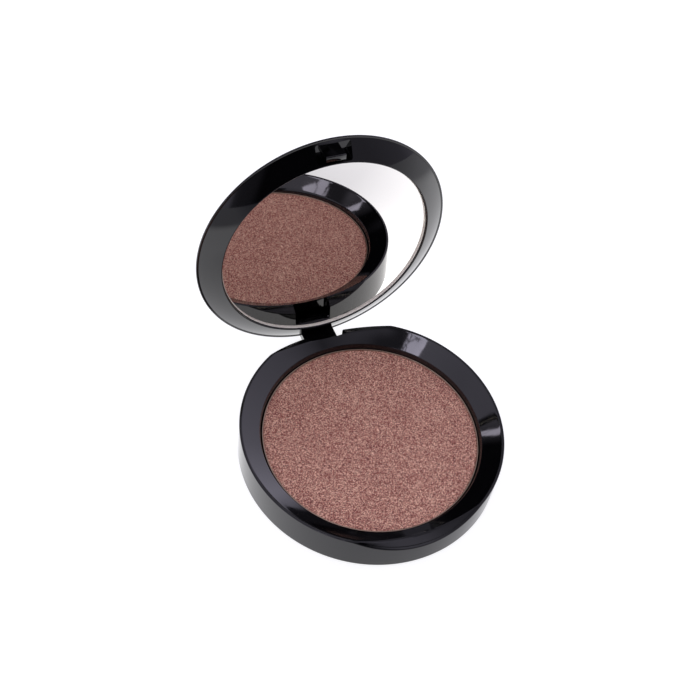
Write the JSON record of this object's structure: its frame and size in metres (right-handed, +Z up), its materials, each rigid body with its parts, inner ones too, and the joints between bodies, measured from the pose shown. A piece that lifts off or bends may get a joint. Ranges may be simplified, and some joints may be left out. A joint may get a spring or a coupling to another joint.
{
  "type": "powder compact",
  "caption": "Round black pressed-powder compact with a mirror lid on a hidden rear hinge, standing open, and a rose-bronze shimmering powder cake.",
  "frame": {"origin": "centre of the base's flat underside", "axes": "+Z up out of the powder, +Y from the front catch to the hinge, +X along the hinge pin"},
  "size_m": [0.072, 0.0867, 0.0721],
  "materials": {
    "black_gloss": "polished moulded ABS",
    "powder": "pressed shimmering powder",
    "pan_metal": "drawn sheet with a bright edge",
    "glue": "soft hot-melt glue",
    "pin_steel": "drawn wire",
    "mirror": "silvered glass",
    "tape": "foam tape"
  },
  "bodies": {
    "base": {"base_shell": "black_gloss", "base_deck": "black_gloss", "pan_glue_pad": "glue", "powder_pan": "pan_metal", "pressed_powder": "powder", "hinge_pin": "pin_steel"},
    "lid": {"lid_shell": "black_gloss", "mirror_frame": "black_gloss", "mirror_tape": "tape", "mirror_glass": "mirror"}
  },
  "joints": [
    {"name": "lid_hinge", "type": "hinge", "parent": "base", "child": "lid", "pos_m": [0, 0.034, 0.0031], "axis": [1, 0, 0], "range_deg": [0, 95]}
  ]
}
